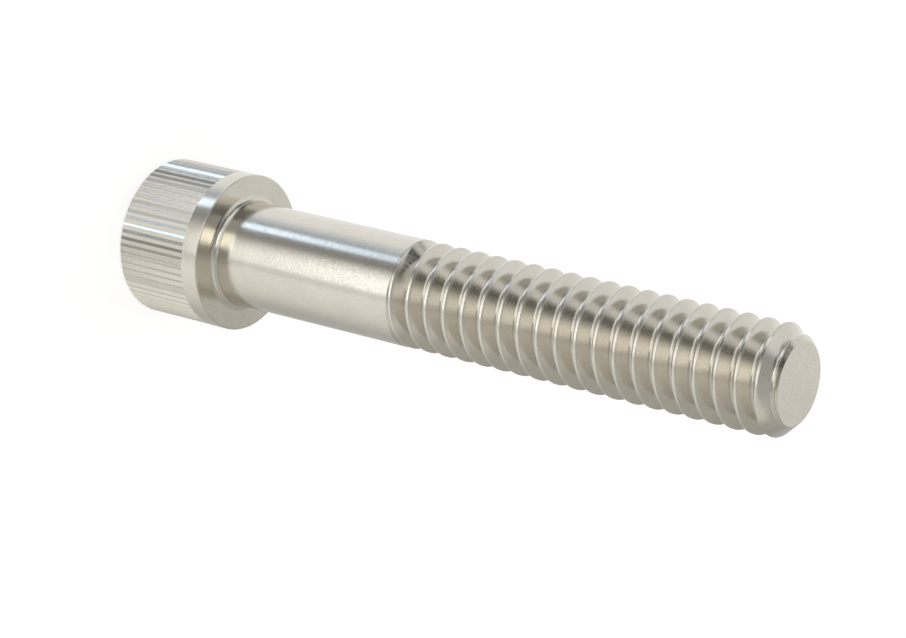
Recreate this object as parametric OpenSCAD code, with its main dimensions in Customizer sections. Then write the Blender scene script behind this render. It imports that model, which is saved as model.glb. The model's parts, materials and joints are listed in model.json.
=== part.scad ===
// Socket head cap screw, 1/4-20 UNC by 1 1/2 inch, partly threaded, in stainless steel.
// One solid piece. The axis is Z and the bearing face under the head lies at z = 0.
// The head is below it and the shank rises above it, so the screw stands on its head.

/* [Shank] */
// Diameter of the plain shank
shank_d = 6.35; // [5.6:0.05:6.8]
// Length from the bearing face to the flat end of the thread
length = 38.1; // [32:0.1:43]
// Length of plain shank between the bearing face and the thread
plain_length = 12.9; // [8:0.1:20]
// Radius of the fillet between the bearing face and the shank
neck_r = 0.38; // [0.1:0.01:0.8]

/* [Head] */
// Diameter of the head
head_d = 9.525; // [8.8:0.025:11]
// Height of the head
head_h = 6.35; // [5.2:0.05:8]
// Width of the plain band between the bearing face and the knurl
band_h = 1.14; // [0.6:0.02:2]
// Edge break round the bearing face
bearing_edge = 0.08; // [0.04:0.01:0.3]
// Chamfer round the end face of the head
head_chamfer = 0.4; // [0.2:0.05:0.8]

/* [Knurl] */
// Number of straight teeth round the head
knurl_teeth = 69; // [48:1:90]
// Depth of the grooves between the teeth
knurl_depth = 0.125; // [0.05:0.005:0.25]
// How far the tips of the teeth lie below the surface of the plain band
knurl_drop = 0.01; // [0.01:0.01:0.1]

/* [Hexagon socket] */
// Distance across the flats of the socket
socket_af = 4.7625; // [4:0.0125:5.2]
// Depth of the flats of the socket
socket_depth = 3.2; // [2.4:0.05:3.8]
// Width of the flat ledge round the cone at the bottom of the socket
socket_ledge = 0.15; // [0.05:0.01:0.4]
// Angle of the cone at the bottom of the socket, tip to tip
socket_cone_angle = 120; // [100:5:150]
// How far the chamfer of the mouth reaches past the corners of the hexagon
mouth_margin = 0.1; // [0.05:0.01:0.3]

/* [Thread] */
// Distance along the axis from one thread crest to the next
pitch = 1.27; // [1.1:0.01:1.6]
// Width of the flat on top of the thread crest
crest_flat = 0.16; // [0.08:0.01:0.25]
// Radius of the rounded thread root
root_round = 0.18; // [0.1:0.01:0.22]
// Angle between the two flanks of the thread
flank_angle = 60; // [55:1:62]
// How far the thread crest lies below the surface of the shank
crest_drop = 0.015; // [0.01:0.005:0.1]
// Angle at which the middle of the crest crosses the end of the plain shank
thread_start = 227.5; // [0:0.5:360]
// Angle between the axis and the cone that ends the plain shank
runout_angle = 45; // [30:1:60]
// Width of the 45 degree chamfer at the end of the thread
tip_chamfer = 0.82; // [0.5:0.02:1.2]
// Straight steps that make up one turn of the thread
turn_steps = 48; // [24:1:52]

/* [Hidden] */
$fn = 96;

// How far joined shapes run into each other, and cuts run past what they cut
embed = 0.6;

shank_r = shank_d / 2;
head_r = head_d / 2;
knurl_r = head_r - knurl_drop;
socket_corner_r = socket_af / 2 / cos(30);
socket_cone_r = socket_af / 2 - socket_ledge;
mouth_r = socket_corner_r + mouth_margin;

crest_r = shank_r - crest_drop;
half_flank = flank_angle / 2;
// Depth at which the two flanks of a groove would meet if the root were sharp
sharp_depth = (pitch - crest_flat) / 2 / tan(half_flank);
root_r = crest_r - sharp_depth + root_round / sin(half_flank) - root_round;
tip_r = crest_r - tip_chamfer;

// One pitch of the thread from root to root, as [distance from the crest's middle, radius]
flank_end_r = root_r + root_round * (1 - sin(half_flank));
flank_end_z = pitch / 2 - root_round * cos(half_flank);
thread_profile = [
    [-pitch / 2, root_r],
    [-flank_end_z, flank_end_r],
    [-crest_flat / 2, crest_r],
    [crest_flat / 2, crest_r],
    [flank_end_z, flank_end_r],
];
profile_count = len(thread_profile);
// The first turn is hidden in the plain shank, and the last is cut off at the tip
thread_turns = ceil((length - plain_length) / pitch) + 2;
last_step = thread_turns * turn_steps;

// Point k of the profile after the given number of steps along the helix
function thread_point(step, k) =
    let (angle = thread_start + 360 * step / turn_steps)
    let (rise = pitch * (step / turn_steps - 1))
    [
        thread_profile[k][1] * cos(angle),
        thread_profile[k][1] * sin(angle),
        plain_length + rise + thread_profile[k][0],
    ];

// Place of that point in the list of points. Past the last point of the profile
// comes the first point of the next turn.
function point_index(step, k) =
    k < profile_count
    ? step * profile_count + k
    : (step + turn_steps) * profile_count;

// The two triangles between points k and k + 1 of this step and of the next
function strip_faces(step, k) =
    let (a = point_index(step, k))
    let (b = point_index(step, k + 1))
    let (c = point_index(step + 1, k + 1))
    let (d = point_index(step + 1, k))
    [[a, b, c], [a, c, d]];

// Triangles from a point on the axis to each pair of neighbours on a closed rim
function fan_faces(centre, rim) =
    [for (i = [0:len(rim) - 1]) [centre, rim[i], rim[(i + 1) % len(rim)]]];

// Threaded rod with a right-hand helical ridge, made as one closed skin
module thread_rod() {
    points = [
        for (step = [0:last_step])
            for (k = [0:profile_count - 1])
                thread_point(step, k)
    ];
    start_centre = len(points);
    end_centre = start_centre + 1;
    start_z = plain_length - pitch;
    centres = [[0, 0, start_z], [0, 0, start_z + thread_turns * pitch]];
    last_turn = last_step - turn_steps;

    flanks = [
        for (step = [0:last_step - 1])
            for (k = [0:profile_count - 2])
                each strip_faces(step, k)
    ];
    roots = [
        for (step = [0:last_turn - 1])
            each strip_faces(step, profile_count - 1)
    ];
    start_rim = [
        for (step = [0:turn_steps]) point_index(step, 0),
        for (k = [profile_count - 1:-1:1]) point_index(0, k),
    ];
    end_rim = [
        for (k = [0:profile_count - 1]) point_index(last_step, k),
        for (step = [last_step - 1:-1:last_turn]) point_index(step, profile_count - 1),
    ];
    polyhedron(
        points = concat(points, centres),
        faces = concat(
            flanks,
            roots,
            fan_faces(start_centre, start_rim),
            fan_faces(end_centre, end_rim)
        )
    );
}

// Everything past the flat end and its chamfer
module tip_cut() {
    outer_r = shank_r + embed;
    top_z = length + 3 * pitch;
    rotate_extrude()
        polygon([
            [0, length],
            [tip_r, length],
            [outer_r, length - (outer_r - tip_r)],
            [outer_r, top_z],
            [0, top_z],
        ]);
}

module thread() {
    difference() {
        thread_rod();
        tip_cut();
    }
}

// Neck fillet, plain cylinder, and the cone down which the thread runs out
module shank() {
    cone_end_r = root_r / 2;
    cone_end_z = plain_length + (shank_r - cone_end_r) / tan(runout_angle);
    rotate_extrude() {
        difference() {
            translate([0, -embed])
                square([shank_r + neck_r, embed + neck_r]);
            translate([shank_r + neck_r, neck_r])
                circle(neck_r);
        }
        polygon([
            [0, -embed],
            [shank_r, -embed],
            [shank_r, plain_length],
            [cone_end_r, cone_end_z],
            [0, cone_end_z],
        ]);
    }
}

// Smooth ring next to the bearing face
module plain_band() {
    rotate_extrude()
        polygon([
            [0, -band_h],
            [head_r, -band_h],
            [head_r, -bearing_edge],
            [head_r - bearing_edge, 0],
            [0, 0],
        ]);
}

// Star-shaped prism whose points are the teeth of the knurl
module knurl() {
    outline = [
        for (i = [0:2 * knurl_teeth - 1])
            let (angle = 180 * i / knurl_teeth)
            let (r = i % 2 == 0 ? knurl_r : knurl_r - knurl_depth)
            [r * cos(angle), r * sin(angle)]
    ];
    translate([0, 0, -head_h])
        linear_extrude(head_h - band_h + embed / 2)
            polygon(outline);
}

// Ring that cuts the chamfer round the end face of the head
module head_chamfer_cut() {
    outer = head_r + embed;
    chamfer_r = knurl_r - head_chamfer;
    rotate_extrude()
        polygon([
            [chamfer_r, -head_h],
            [chamfer_r, -head_h - embed],
            [outer, -head_h - embed],
            [outer, -head_h + outer - chamfer_r],
        ]);
}

// Hexagon with a conical bottom and a chamfered mouth
module socket_cut() {
    cone_h = socket_cone_r / tan(socket_cone_angle / 2);
    translate([0, 0, -head_h]) {
        translate([0, 0, -embed])
            cylinder(r = socket_corner_r, h = socket_depth + embed, $fn = 6);
        translate([0, 0, socket_depth])
            cylinder(r1 = socket_cone_r, r2 = 0, h = cone_h);
        cylinder(r1 = mouth_r, r2 = socket_cone_r, h = mouth_r - socket_cone_r);
    }
}

module head() {
    difference() {
        union() {
            plain_band();
            knurl();
        }
        head_chamfer_cut();
        socket_cut();
    }
}

module cap_screw() {
    color([0.80, 0.79, 0.76]) {
        head();
        shank();
        thread();
    }
}

cap_screw();
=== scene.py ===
"""Looks of a socket head cap screw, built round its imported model."""

import json
import math

import bpy
import numpy as np
from mathutils import Matrix, Vector


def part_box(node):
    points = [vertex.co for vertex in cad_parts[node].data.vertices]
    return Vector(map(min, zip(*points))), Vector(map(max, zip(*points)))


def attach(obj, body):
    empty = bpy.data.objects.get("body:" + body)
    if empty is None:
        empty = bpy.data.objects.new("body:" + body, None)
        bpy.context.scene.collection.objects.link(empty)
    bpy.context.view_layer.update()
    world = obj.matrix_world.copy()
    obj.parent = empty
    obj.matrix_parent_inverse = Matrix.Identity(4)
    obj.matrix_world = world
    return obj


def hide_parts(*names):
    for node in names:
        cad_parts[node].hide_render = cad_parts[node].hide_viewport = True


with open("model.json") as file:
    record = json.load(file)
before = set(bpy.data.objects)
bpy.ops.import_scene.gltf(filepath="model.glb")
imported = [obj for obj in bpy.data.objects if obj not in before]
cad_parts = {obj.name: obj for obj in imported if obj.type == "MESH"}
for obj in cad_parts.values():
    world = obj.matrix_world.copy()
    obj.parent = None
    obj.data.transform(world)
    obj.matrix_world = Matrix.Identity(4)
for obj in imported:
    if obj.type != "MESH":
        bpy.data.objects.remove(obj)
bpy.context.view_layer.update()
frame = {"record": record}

NODE = "cap_screw"
MM = 0.001

# Sizes are in mm. The first ones come from the frame.
box_low, box_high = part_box(NODE)
mounts = {mount["name"]: mount for mount in frame["record"]["mounts"]}
shank_pin = mounts["shank"]
LENGTH = box_high.z / MM
HEAD_H = -box_low.z / MM
HEAD_R = box_high.x / MM
SHANK_R = shank_pin["dims"]["r_mm"]
NECK_R = shank_pin["pos_m"][2] / MM
PLAIN_LENGTH = NECK_R + shank_pin["dims"]["length_mm"]

# Plain band under the knurl, the rounding of its rim, and the chamfer at the head's end
BAND_H = 1.14
BEARING_EDGE = 0.08
HEAD_CHAMFER = 0.4

KNURL_TEETH = 69
KNURL_DEPTH = 0.125
# How far the teeth stay below the band's surface
KNURL_DROP = 0.01
# Share of a tooth's width that is rounded off at its tip and at the bottom of a groove
KNURL_ROUND = 0.12

SOCKET_AF = 4.7625
SOCKET_DEPTH = 3.2
# Flat ledge round the cone at the socket's bottom
SOCKET_LEDGE = 0.15
SOCKET_CONE_ANGLE = math.radians(120)
# How far the mouth's chamfer reaches past the hexagon's corners
MOUTH_MARGIN = 0.1

PITCH = 1.27
HALF_FLANK = math.radians(30)
CREST_FLAT = 0.16
# Radii of the crest's edges and of the root
CREST_EDGE = 0.03
ROOT_ROUND = 0.18
# How far the crests stay below the shank's surface
CREST_DROP = 0.015
# Angle from +X at which the crest passes the end of the plain shank
THREAD_START = math.radians(227.5)
# Chamfer at the threaded end, and the rounding of its inner rim
TIP_CHAMFER = 0.82
TIP_EDGE = 0.06

# Straight steps in a turn of the thread, round a turned surface, in an arc and in the neck
TURN_STEPS = 144
TURNED_STEPS = 192
ARC_STEPS = 4
NECK_STEPS = 8
# How far joined shapes run into each other, and cuts run past what they cut
EMBED = 0.6
# Faces that meet at less than this angle are shaded as one smooth surface
SMOOTH_ANGLE = math.radians(26)

CREST_R = SHANK_R - CREST_DROP
SHARP_DEPTH = (PITCH - CREST_FLAT) / 2 / math.tan(HALF_FLANK)
ROOT_R = CREST_R - SHARP_DEPTH + ROOT_ROUND / math.sin(HALF_FLANK) - ROOT_ROUND
TIP_R = CREST_R - TIP_CHAMFER
KNURL_R = HEAD_R - KNURL_DROP
SOCKET_CORNER_R = SOCKET_AF / 2 / math.cos(math.radians(30))
SOCKET_CONE_R = SOCKET_AF / 2 - SOCKET_LEDGE
MOUTH_R = SOCKET_CORNER_R + MOUTH_MARGIN
CHAMFER_R = KNURL_R - HEAD_CHAMFER

# The photo's camera: its place, and the directions of the picture's right and upper sides
CAMERA_PLACE = Vector((0, -138.23, 107.22))
CAMERA_RIGHT = Vector((-0.23224, 0.53830, 0.81012))
CAMERA_UP = Vector((-0.97264, -0.12357, -0.19671))
CAMERA_LENS = 114.59
SENSOR_W = 36
CLIP_START = 5
CLIP_END = 10000

FLOOR_REACH = 900
PAPER_COLOUR = (0.8, 0.8, 0.8, 1)
# Light that the floor adds for the camera, so that it is white beside the shadow
PAPER_GLOW = 0.6

# Satin steel: its two shades, the range of its roughness, and the height of its grain
STEEL_DARK = (0.67, 0.637, 0.566, 1)
STEEL_LIGHT = (0.77, 0.731, 0.652, 1)
ROUGHNESS = (0.13, 0.23)
GRAIN_H = 0.002
# Features in a mm of the clouds in the colour, of the blots in the roughness and of the grain
CLOUD_SCALE = 0.6
BLOT_SCALE = 6
GRAIN_SCALE = 14
# Values of the blots' noise between which the roughness changes
BLOT_RANGE = (0.3, 0.7)
NOISE_MEAN = 0.5


def mesh_object(name, points, faces):
    """A mesh in the scene, from points in mm."""
    mesh = bpy.data.meshes.new(name)
    scaled = [tuple(MM * c for c in point) for point in points]
    mesh.from_pydata(scaled, [], faces)
    mesh.validate()
    obj = bpy.data.objects.new(name, mesh)
    bpy.context.scene.collection.objects.link(obj)
    return obj


def arc(centre, radius, start, end, steps=ARC_STEPS):
    """Points (r, z) on an arc. Angles are in degrees from the outward direction towards +Z."""
    angles = np.radians(np.linspace(start, end, steps + 1))
    return [(centre[0] + radius * math.cos(a), centre[1] + radius * math.sin(a)) for a in angles]


def turned(name, outline):
    """Closed solid of revolution about Z. The outline runs upwards from axis to axis."""
    rings = outline[1:-1]
    points = [(0, 0, outline[0][1])]
    for r, z in rings:
        for i in range(TURNED_STEPS):
            a = 2 * math.pi * i / TURNED_STEPS
            points.append((r * math.cos(a), r * math.sin(a), z))
    points.append((0, 0, outline[-1][1]))
    last = len(points) - 1
    top = 1 + (len(rings) - 1) * TURNED_STEPS
    faces = []
    for i in range(TURNED_STEPS):
        j = (i + 1) % TURNED_STEPS
        faces.append((0, 1 + j, 1 + i))
        for k in range(len(rings) - 1):
            below = 1 + k * TURNED_STEPS
            above = below + TURNED_STEPS
            faces.append((below + i, below + j, above + j, above + i))
        faces.append((last, top + i, top + j))
    return mesh_object(name, points, faces)


def prism(name, outline, low, high):
    """Upright solid with the given (x, y) outline."""
    count = len(outline)
    points = [(x, y, z) for z in (low, high) for x, y in outline]
    faces = [tuple(reversed(range(count))), tuple(range(count, 2 * count))]
    for i in range(count):
        j = (i + 1) % count
        faces.append((i, j, count + j, count + i))
    return mesh_object(name, points, faces)


def apply(target):
    """Makes the result of the object's modifiers its mesh."""
    depsgraph = bpy.context.evaluated_depsgraph_get()
    result = bpy.data.meshes.new_from_object(target.evaluated_get(depsgraph))
    target.modifiers.clear()
    target.data = result


def combine(target, tool, operation):
    """Changes target by a boolean operation with tool, which is used up."""
    modifier = target.modifiers.new(operation, "BOOLEAN")
    modifier.operation = operation
    modifier.solver = "MANIFOLD"
    modifier.object = tool
    apply(target)
    bpy.data.objects.remove(tool)
    return target


def thread_profile():
    """One pitch of the thread from root to root, as (distance from the crest's middle, r)."""
    # Turn of the profile from the root's middle to a flank, and from there to the crest
    turn = math.pi / 3
    tangents = [turn * i / ARC_STEPS for i in range(ARC_STEPS + 1)]
    crest_z = CREST_FLAT / 2 - CREST_EDGE * math.tan(turn / 2)
    half = [
        (PITCH / 2 - ROOT_ROUND * math.sin(t), ROOT_R + ROOT_ROUND * (1 - math.cos(t)))
        for t in tangents
    ]
    half += [
        (crest_z + CREST_EDGE * math.sin(t), CREST_R - CREST_EDGE * (1 - math.cos(t)))
        for t in reversed(tangents)
    ]
    return [(-z, r) for z, r in half] + list(reversed(half))[:-1]


def thread_rod():
    """Rod with a right-hand helical ridge, closed at both ends.

    Every step round the helix holds one pitch of the profile. Where that pitch ends, the
    next turn's begins, so the two share a point.
    """
    profile = thread_profile()
    count = len(profile)
    turns = math.ceil((LENGTH - PLAIN_LENGTH) / PITCH) + 2
    last_step = turns * TURN_STEPS
    last_turn = last_step - TURN_STEPS
    points = []
    for step in range(last_step + 1):
        angle = THREAD_START + 2 * math.pi * step / TURN_STEPS
        rise = PLAIN_LENGTH + PITCH * (step / TURN_STEPS - 1)
        for z, r in profile:
            points.append((r * math.cos(angle), r * math.sin(angle), rise + z))

    def index(step, k):
        """Number of the profile's point k at a step."""
        if k < count:
            return step * count + k
        return (step + TURN_STEPS) * count

    faces = []
    for step in range(last_step):
        for k in range(count if step < last_turn else count - 1):
            faces.append((index(step, k), index(step + 1, k),
                          index(step + 1, k + 1), index(step, k + 1)))

    # Each end is closed by triangles from a point on the axis to the end's rim
    start_rim = [index(step, 0) for step in range(TURN_STEPS + 1)]
    start_rim += [index(0, k) for k in range(count - 1, 0, -1)]
    end_rim = [index(last_step, k) for k in range(count)]
    end_rim += [index(step, count - 1) for step in range(last_step - 1, last_turn - 1, -1)]
    for rim, turn in ((start_rim, 0), (end_rim, turns)):
        centre = len(points)
        points.append((0, 0, PLAIN_LENGTH + PITCH * (turn - 1)))
        for i, a in enumerate(rim):
            faces.append((centre, rim[(i + 1) % len(rim)], a))
    return mesh_object("thread_rod", points, faces)


def thread():
    """The rod, cut to length with its chamfered end."""
    outer = SHANK_R + EMBED
    chamfer_turn = TIP_EDGE * math.tan(math.radians(22.5))
    end = [
        (0, -HEAD_H / 2),
        (outer, -HEAD_H / 2),
        (outer, LENGTH - (outer - TIP_R)),
        *arc((TIP_R - chamfer_turn, LENGTH - TIP_EDGE), TIP_EDGE, 45, 90),
        (0, LENGTH),
    ]
    return combine(thread_rod(), turned("tip", end), "INTERSECT")


def shank():
    """Neck fillet, plain cylinder, and the cone down which the thread runs out."""
    cone_end_r = ROOT_R / 2
    neck = arc((SHANK_R + NECK_R, NECK_R), NECK_R, -90, -180, NECK_STEPS)
    outline = [
        (0, -EMBED),
        (SHANK_R + NECK_R, -EMBED),
        *neck,
        (SHANK_R, PLAIN_LENGTH),
        (cone_end_r, PLAIN_LENGTH + SHANK_R - cone_end_r),
        (0, PLAIN_LENGTH + SHANK_R - cone_end_r),
    ]
    return turned("shank", outline)


def knurl():
    """Star-shaped prism with straight flanks and slightly rounded teeth and grooves."""
    half = KNURL_ROUND / 2
    shares = (-half, -half / 3, half / 3, half)
    tip = [(share, KNURL_DEPTH * share * share / half) for share in shares]
    groove_depth = KNURL_DEPTH * (1 - KNURL_ROUND)
    groove = [(0.5 + share, groove_depth - depth) for share, depth in tip]
    outline = []
    for i in range(KNURL_TEETH):
        for share, depth in tip + groove:
            a = 2 * math.pi * (i + share) / KNURL_TEETH
            outline.append(((KNURL_R - depth) * math.cos(a), (KNURL_R - depth) * math.sin(a)))
    return prism("knurl", outline, -HEAD_H, -BAND_H + EMBED / 2)


def cut_socket(body):
    """Cuts the hexagon socket, with its conical bottom and chamfered mouth."""
    corners = [math.radians(60 * i) for i in range(6)]
    hexagon = [(SOCKET_CORNER_R * math.cos(a), SOCKET_CORNER_R * math.sin(a)) for a in corners]
    key = prism("hexagon", hexagon, -HEAD_H - EMBED, -HEAD_H + SOCKET_DEPTH)
    body = combine(body, key, "DIFFERENCE")
    cone_h = SOCKET_CONE_R / math.tan(SOCKET_CONE_ANGLE / 2)
    drill = [
        (0, -HEAD_H - EMBED),
        (MOUTH_R + EMBED, -HEAD_H - EMBED),
        (SOCKET_CONE_R, -HEAD_H + MOUTH_R - SOCKET_CONE_R),
        (SOCKET_CONE_R, -HEAD_H + SOCKET_DEPTH),
        (0, -HEAD_H + SOCKET_DEPTH + cone_h),
    ]
    return combine(body, turned("drill", drill), "DIFFERENCE")


def head():
    """Plain band and knurl, with a chamfered end and the socket."""
    band = [
        (0, -BAND_H),
        (HEAD_R, -BAND_H),
        *arc((HEAD_R - BEARING_EDGE, -BEARING_EDGE), BEARING_EDGE, 0, 90),
        (0, 0),
    ]
    body = combine(turned("head", band), knurl(), "UNION")
    outer = HEAD_R + EMBED
    end = [
        (0, -HEAD_H),
        (CHAMFER_R, -HEAD_H),
        (outer, -HEAD_H + outer - CHAMFER_R),
        (outer, EMBED),
        (0, EMBED),
    ]
    body = combine(body, turned("head_end", end), "INTERSECT")
    return cut_socket(body)


def shade_by_area(mesh):
    """Smooth shading that leaves flat faces flat.

    A corner's normal is the mean, by area, of the faces that meet its own at a small angle.
    """
    face_count = len(mesh.polygons)
    corner_count = len(mesh.loops)
    face_normals = np.empty(3 * face_count, np.float32)
    areas = np.empty(face_count, np.float32)
    sizes = np.empty(face_count, np.int32)
    vertices = np.empty(corner_count, np.int32)
    mesh.polygons.foreach_get("normal", face_normals)
    mesh.polygons.foreach_get("area", areas)
    mesh.polygons.foreach_get("loop_total", sizes)
    mesh.loops.foreach_get("vertex_index", vertices)

    order = np.argsort(vertices, kind="stable")
    vertices = vertices[order]
    faces = np.repeat(np.arange(face_count), sizes)[order]
    normals = face_normals.reshape(-1, 3)[faces]
    weighted = normals * areas[faces][:, None]
    total = weighted.copy()
    # Corners of one vertex are neighbours in the order, so each pair is met at some gap
    gap = 1
    while len(pairs := np.nonzero(vertices[gap:] == vertices[:-gap])[0]):
        cosines = np.sum(normals[pairs] * normals[pairs + gap], axis=1)
        near = pairs[cosines > math.cos(SMOOTH_ANGLE)]
        total[near] += weighted[near + gap]
        total[near + gap] += weighted[near]
        gap += 1
    total /= np.linalg.norm(total, axis=1)[:, None]
    corner_normals = np.empty_like(total)
    corner_normals[order] = total
    mesh.shade_smooth()
    mesh.normals_split_custom_set(corner_normals.tolist())


def cap_screw():
    """The whole screw as one closed mesh."""
    screw = combine(head(), shank(), "UNION")
    screw = combine(screw, thread(), "UNION")
    screw.name = "screw"
    screw.data.name = "screw"
    shade_by_area(screw.data)
    return screw


class Nodes:
    """Short calls for building a node tree."""

    def __init__(self, owner):
        owner.use_nodes = True
        self.tree = owner.node_tree
        self.tree.nodes.clear()

    def add(self, kind, inputs=None, **settings):
        """A new node, with its settings and its inputs by name."""
        node = self.tree.nodes.new(kind)
        for name, value in settings.items():
            setattr(node, name, value)
        for name, value in (inputs or {}).items():
            self.put(node.inputs[name], value)
        return node

    def put(self, socket, value):
        """Sets the socket to the value, or links it where the value is a socket too."""
        if isinstance(value, bpy.types.NodeSocket):
            self.tree.links.new(value, socket)
        else:
            socket.default_value = value

    def math(self, operation, *values):
        """Result of the operation on the values."""
        node = self.add("ShaderNodeMath", operation=operation)
        for socket, value in zip(node.inputs, values):
            self.put(socket, value)
        return node.outputs[0]

    def noise(self, place, scale, detail):
        """Soft noise between 0 and 1, with so many features in a unit of length."""
        inputs = {"Vector": place, "Scale": scale, "Detail": detail}
        return self.add("ShaderNodeTexNoise", inputs).outputs["Fac"]

    def mix_colour(self, share, first, second):
        """The first colour where the share is 0, and the second where it is 1."""
        node = self.add("ShaderNodeMix", data_type="RGBA")
        sockets = [socket for socket in node.inputs if socket.enabled]
        for socket, value in zip(sockets, (share, first, second)):
            self.put(socket, value)
        return next(socket for socket in node.outputs if socket.enabled)

    def remap(self, value, source, target, kind="LINEAR"):
        """The value, brought from the source range to the target range."""
        inputs = {
            "Value": value,
            "From Min": source[0],
            "From Max": source[1],
            "To Min": target[0],
            "To Max": target[1],
        }
        return self.add("ShaderNodeMapRange", inputs, interpolation_type=kind).outputs[0]

    def edge(self, value, place, softness):
        """Smooth step from 0 to 1 at a place, or from 1 to 0 where the softness is negative."""
        source = (place - softness / 2, place + softness / 2)
        return self.remap(value, source, (0, 1), "SMOOTHSTEP")

    def scaled(self, vector, factor):
        """The vector or colour times the factor."""
        node = self.add("ShaderNodeVectorMath", operation="SCALE")
        self.put(node.inputs[0], vector)
        self.put(node.inputs["Scale"], factor)
        return node.outputs[0]

    def total(self, first, second):
        """The sum of two vectors or colours."""
        node = self.add("ShaderNodeVectorMath", operation="ADD")
        self.put(node.inputs[0], first)
        self.put(node.inputs[1], second)
        return node.outputs[0]

    def by_camera(self, seen, other):
        """The first shader for what the camera sees, and the second for all other rays."""
        path = self.add("ShaderNodeLightPath")
        mix = self.add("ShaderNodeMixShader")
        self.put(mix.inputs[0], path.outputs["Is Camera Ray"])
        self.put(mix.inputs[1], other)
        self.put(mix.inputs[2], seen)
        return mix.outputs[0]


def steel():
    """Satin stainless steel with a fine grain and faint clouds."""
    material = bpy.data.materials.new("satin_stainless_steel")
    nodes = Nodes(material)
    place = nodes.add("ShaderNodeTexCoord").outputs["Object"]
    place_mm = nodes.scaled(place, 1 / MM)
    clouds = nodes.noise(place_mm, CLOUD_SCALE, 3)
    blots = nodes.noise(place_mm, BLOT_SCALE, 2)
    grain = nodes.noise(place_mm, GRAIN_SCALE, 0)
    mottle = nodes.math("ADD", clouds, nodes.math("SUBTRACT", grain, NOISE_MEAN))
    bump = nodes.add("ShaderNodeBump", {"Height": grain, "Strength": 1, "Distance": GRAIN_H * MM})
    shader = nodes.add("ShaderNodeBsdfPrincipled", {
        "Base Color": nodes.mix_colour(mottle, STEEL_DARK, STEEL_LIGHT),
        "Metallic": 1,
        "Roughness": nodes.remap(blots, BLOT_RANGE, ROUGHNESS),
        "Normal": bump.outputs[0],
    })
    nodes.add("ShaderNodeOutputMaterial", {"Surface": shader.outputs[0]})
    return material


def floor_material():
    """Matt paper that takes the object's shadow and looks white to the camera."""
    material = bpy.data.materials.new("white_paper")
    nodes = Nodes(material)
    paper = nodes.add("ShaderNodeBsdfDiffuse", {"Color": PAPER_COLOUR})
    glow = nodes.add("ShaderNodeEmission", {"Strength": PAPER_GLOW})
    both = nodes.add("ShaderNodeAddShader")
    nodes.put(both.inputs[0], paper.outputs[0])
    nodes.put(both.inputs[1], glow.outputs[0])
    surface = nodes.by_camera(both.outputs[0], paper.outputs[0])
    nodes.add("ShaderNodeOutputMaterial", {"Surface": surface})
    return material


def floor():
    """Plain floor at the end face of the head, on which the screw stands.

    The metal mirrors the studio's cards, also those below the horizon, and not the floor.
    """
    corners = ((-1, -1), (1, -1), (1, 1), (-1, 1))
    points = [(FLOOR_REACH * x, FLOOR_REACH * y, -HEAD_H) for x, y in corners]
    obj = mesh_object("floor", points, [(0, 1, 2, 3)])
    obj.data.materials.append(floor_material())
    obj.visible_glossy = False


class Card:
    """Soft-edged part of the studio, in degrees of azimuth and elevation seen from the screw.

    The azimuth turns about Z from -Y towards +X. Each edge is (place, softness).
    """

    def __init__(self, start, end, low, high, colour):
        self.start = start
        self.end = end
        self.low = low
        self.high = high
        self.colour = colour

    def share(self, nodes, azimuth, elevation):
        """1 inside the card and 0 outside it."""
        middle = (self.start[0] + self.end[0]) / 2
        offset = nodes.math("WRAP", nodes.math("SUBTRACT", azimuth, middle), 180, -180)
        edges = (
            nodes.edge(offset, self.start[0] - middle, self.start[1]),
            nodes.edge(offset, self.end[0] - middle, -self.end[1]),
            nodes.edge(elevation, *self.low),
            nodes.edge(elevation, self.high[0], -self.high[1]),
        )
        share = edges[0]
        for edge in edges[1:]:
            share = nodes.math("MULTIPLY", share, edge)
        return share


# Edges of cards that go all the way round, down or up
ROUND = ((-180, 0.1), (180, 0.1))
DOWN = (-91, 0.1)
UP = (91, 0.1)
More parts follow.
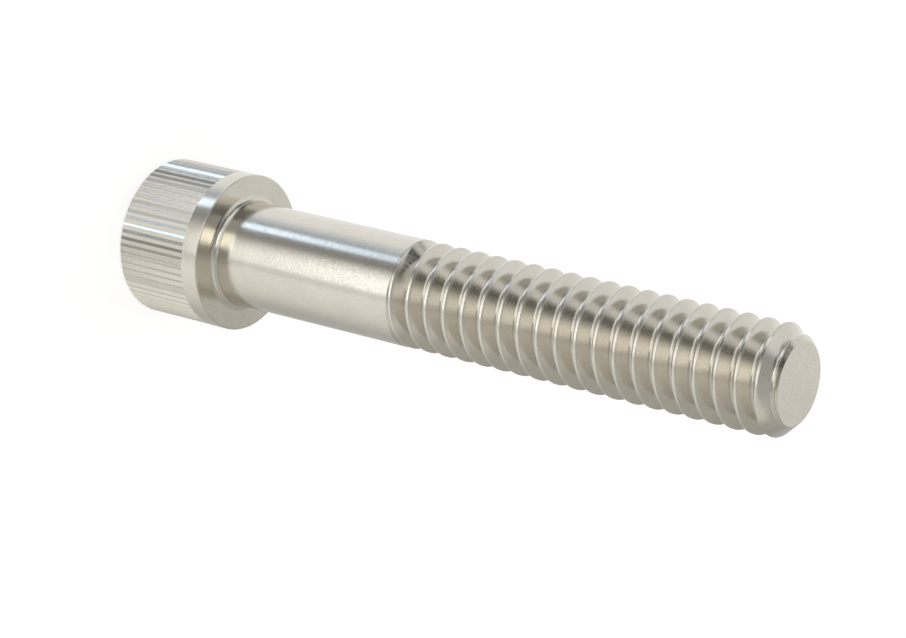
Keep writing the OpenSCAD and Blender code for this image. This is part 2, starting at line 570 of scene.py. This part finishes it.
# The room's own light, and the cards that add theirs to it
ROOM = (0.08, 0.08, 0.08)
CARDS = {
    "lower_room": Card(*ROUND, DOWN, (10, 20), (0.07, 0.07, 0.07)),
    "ground": Card(*ROUND, DOWN, (-32, 8), (0.18, 0.18, 0.18)),
    "low_wall": Card((-33, 8), (308, 8), (-32, 8), (0, 16), (0.18, 0.18, 0.18)),
    "upper_room": Card((-32, 10), (251, 12), (0, 16), UP, (0.14, 0.14, 0.14)),
    "zenith": Card(*ROUND, (66, 14), UP, (0.26, 0.26, 0.26)),
    "left_glow": Card((-184, 26), (-84, 44), DOWN, (-24, 20), (0.65, 0.655, 0.665)),
    "left_wall": Card((-180.2, 1), (-124, 14), (-20, 20), (61, 10), (0.62, 0.62, 0.62)),
    "left_step": Card((-124, 14), (-106, 8), (20, 8), (61, 10), (0.62, 0.62, 0.62)),
    "left_sky": Card((-106, 8), (-92, 12), (40, 4), (63, 12), (0.57, 0.57, 0.57)),
    "left_sky_edge": Card((-92, 12), (-77, 18), (47, 5), (63, 12), (0.47, 0.47, 0.47)),
    "left_foot": Card((-124, 14), (-88, 14), (-16, 16), (10, 8), (0.26, 0.26, 0.26)),
    "tip_wall": Card((174, 4), (179.8, 1), (16, 6), (31, 4), (0.32, 0.32, 0.32)),
    "cool_strip": Card((-68, 5), (-53.5, 4), DOWN, (-35, 8), (1.22, 1.54, 1.98)),
    "cool_tint": Card((-96, 20), (-66, 8), DOWN, (-30, 12), (0.0, 0.05, 0.10)),
    "cool_window": Card((-84, 12), (-59, 8), (-31, 6), (2, 12), (0.66, 0.69, 0.77)),
    "cool_spot": Card((-64, 8), (-48, 8), (17, 6), (29, 6), (0.66, 0.74, 0.86)),
    "left_corner": Card((-90, 10), (-74, 10), (0, 10), (34, 6), (0.47, 0.48, 0.50)),
    "left_front": Card((-74, 10), (-32, 10), (-12, 8), (20, 14), (0.54, 0.55, 0.57)),
    "left_front_sky": Card((-69, 8), (-32, 10), (20, 14), (41.5, 5), (0.52, 0.53, 0.55)),
    "front_glow": Card((-29, 16), (23, 14), (-37.5, 4), (-30, 8), (0.71, 0.71, 0.69)),
    "front": Card((-16, 28), (22, 16), (-39.8, 3), (-2, 14), (0.72, 0.72, 0.71)),
    "front_column": Card((-32, 10), (1, 10), (-4, 12), (50, 8), (0.75, 0.75, 0.73)),
    "front_spot": Card((-32, 10), (0, 12), (34, 8), (51, 8), (1.40, 1.40, 1.30)),
    "right_front": Card((2, 8), (32, 16), (-2, 12), (52, 10), (0.18, 0.18, 0.17)),
    "right_glow": Card((25, 6), (88, 100), DOWN, (-22, 36), (0.38, 0.37, 0.35)),
    "right_wall": Card((30, 16), (105, 40), DOWN, (66, 24), (0.28, 0.28, 0.27)),
    "right_sky": Card((40, 20), (112, 20), (33, 14), (66, 14), (0.24, 0.24, 0.22)),
    "back_wall": Card((105, 40), (179.7, 1), DOWN, (66, 24), (0.18, 0.18, 0.17)),
    "back_sky": Card((105, 40), (179.7, 1), (22, 20), (60, 16), (0.06, 0.05, 0.03)),
}


def studio_world():
    """Soft studio of broad cards that light the screw. The camera sees plain white."""
    world = bpy.data.worlds.new("studio")
    bpy.context.scene.world = world
    nodes = Nodes(world)
    direction = nodes.add("ShaderNodeTexCoord").outputs["Generated"]
    parts = nodes.add("ShaderNodeSeparateXYZ", {"Vector": direction}).outputs
    backward = nodes.math("MULTIPLY", parts["Y"], -1)
    azimuth = nodes.math("DEGREES", nodes.math("ARCTAN2", parts["X"], backward))
    elevation = nodes.math("DEGREES", nodes.math("ARCSINE", parts["Z"]))
    light = ROOM
    for card in CARDS.values():
        share = card.share(nodes, azimuth, elevation)
        light = nodes.total(light, nodes.scaled(card.colour, share))
    studio = nodes.add("ShaderNodeBackground", {"Color": light, "Strength": 1})
    white = nodes.add("ShaderNodeBackground", {"Color": (1, 1, 1, 1), "Strength": 1})
    surface = nodes.by_camera(white.outputs[0], studio.outputs[0])
    nodes.add("ShaderNodeOutputWorld", {"Surface": surface})


def camera():
    """Camera at the photo's angle."""
    data = bpy.data.cameras.new("camera")
    data.sensor_width = SENSOR_W
    data.lens = CAMERA_LENS
    data.clip_start = CLIP_START * MM
    data.clip_end = CLIP_END * MM
    obj = bpy.data.objects.new("camera", data)
    bpy.context.scene.collection.objects.link(obj)
    right = CAMERA_RIGHT.normalized()
    back = right.cross(CAMERA_UP).normalized()
    up = back.cross(right)
    turn = Matrix((right, up, back)).transposed().to_4x4()
    obj.matrix_world = Matrix.Translation(CAMERA_PLACE * MM) @ turn
    bpy.context.scene.camera = obj


screw = cap_screw()
screw.data.materials.clear()
screw.data.materials.append(steel())
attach(screw, "root")
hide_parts(NODE)
floor()
studio_world()
camera()
bpy.context.scene.view_settings.view_transform = "Standard"
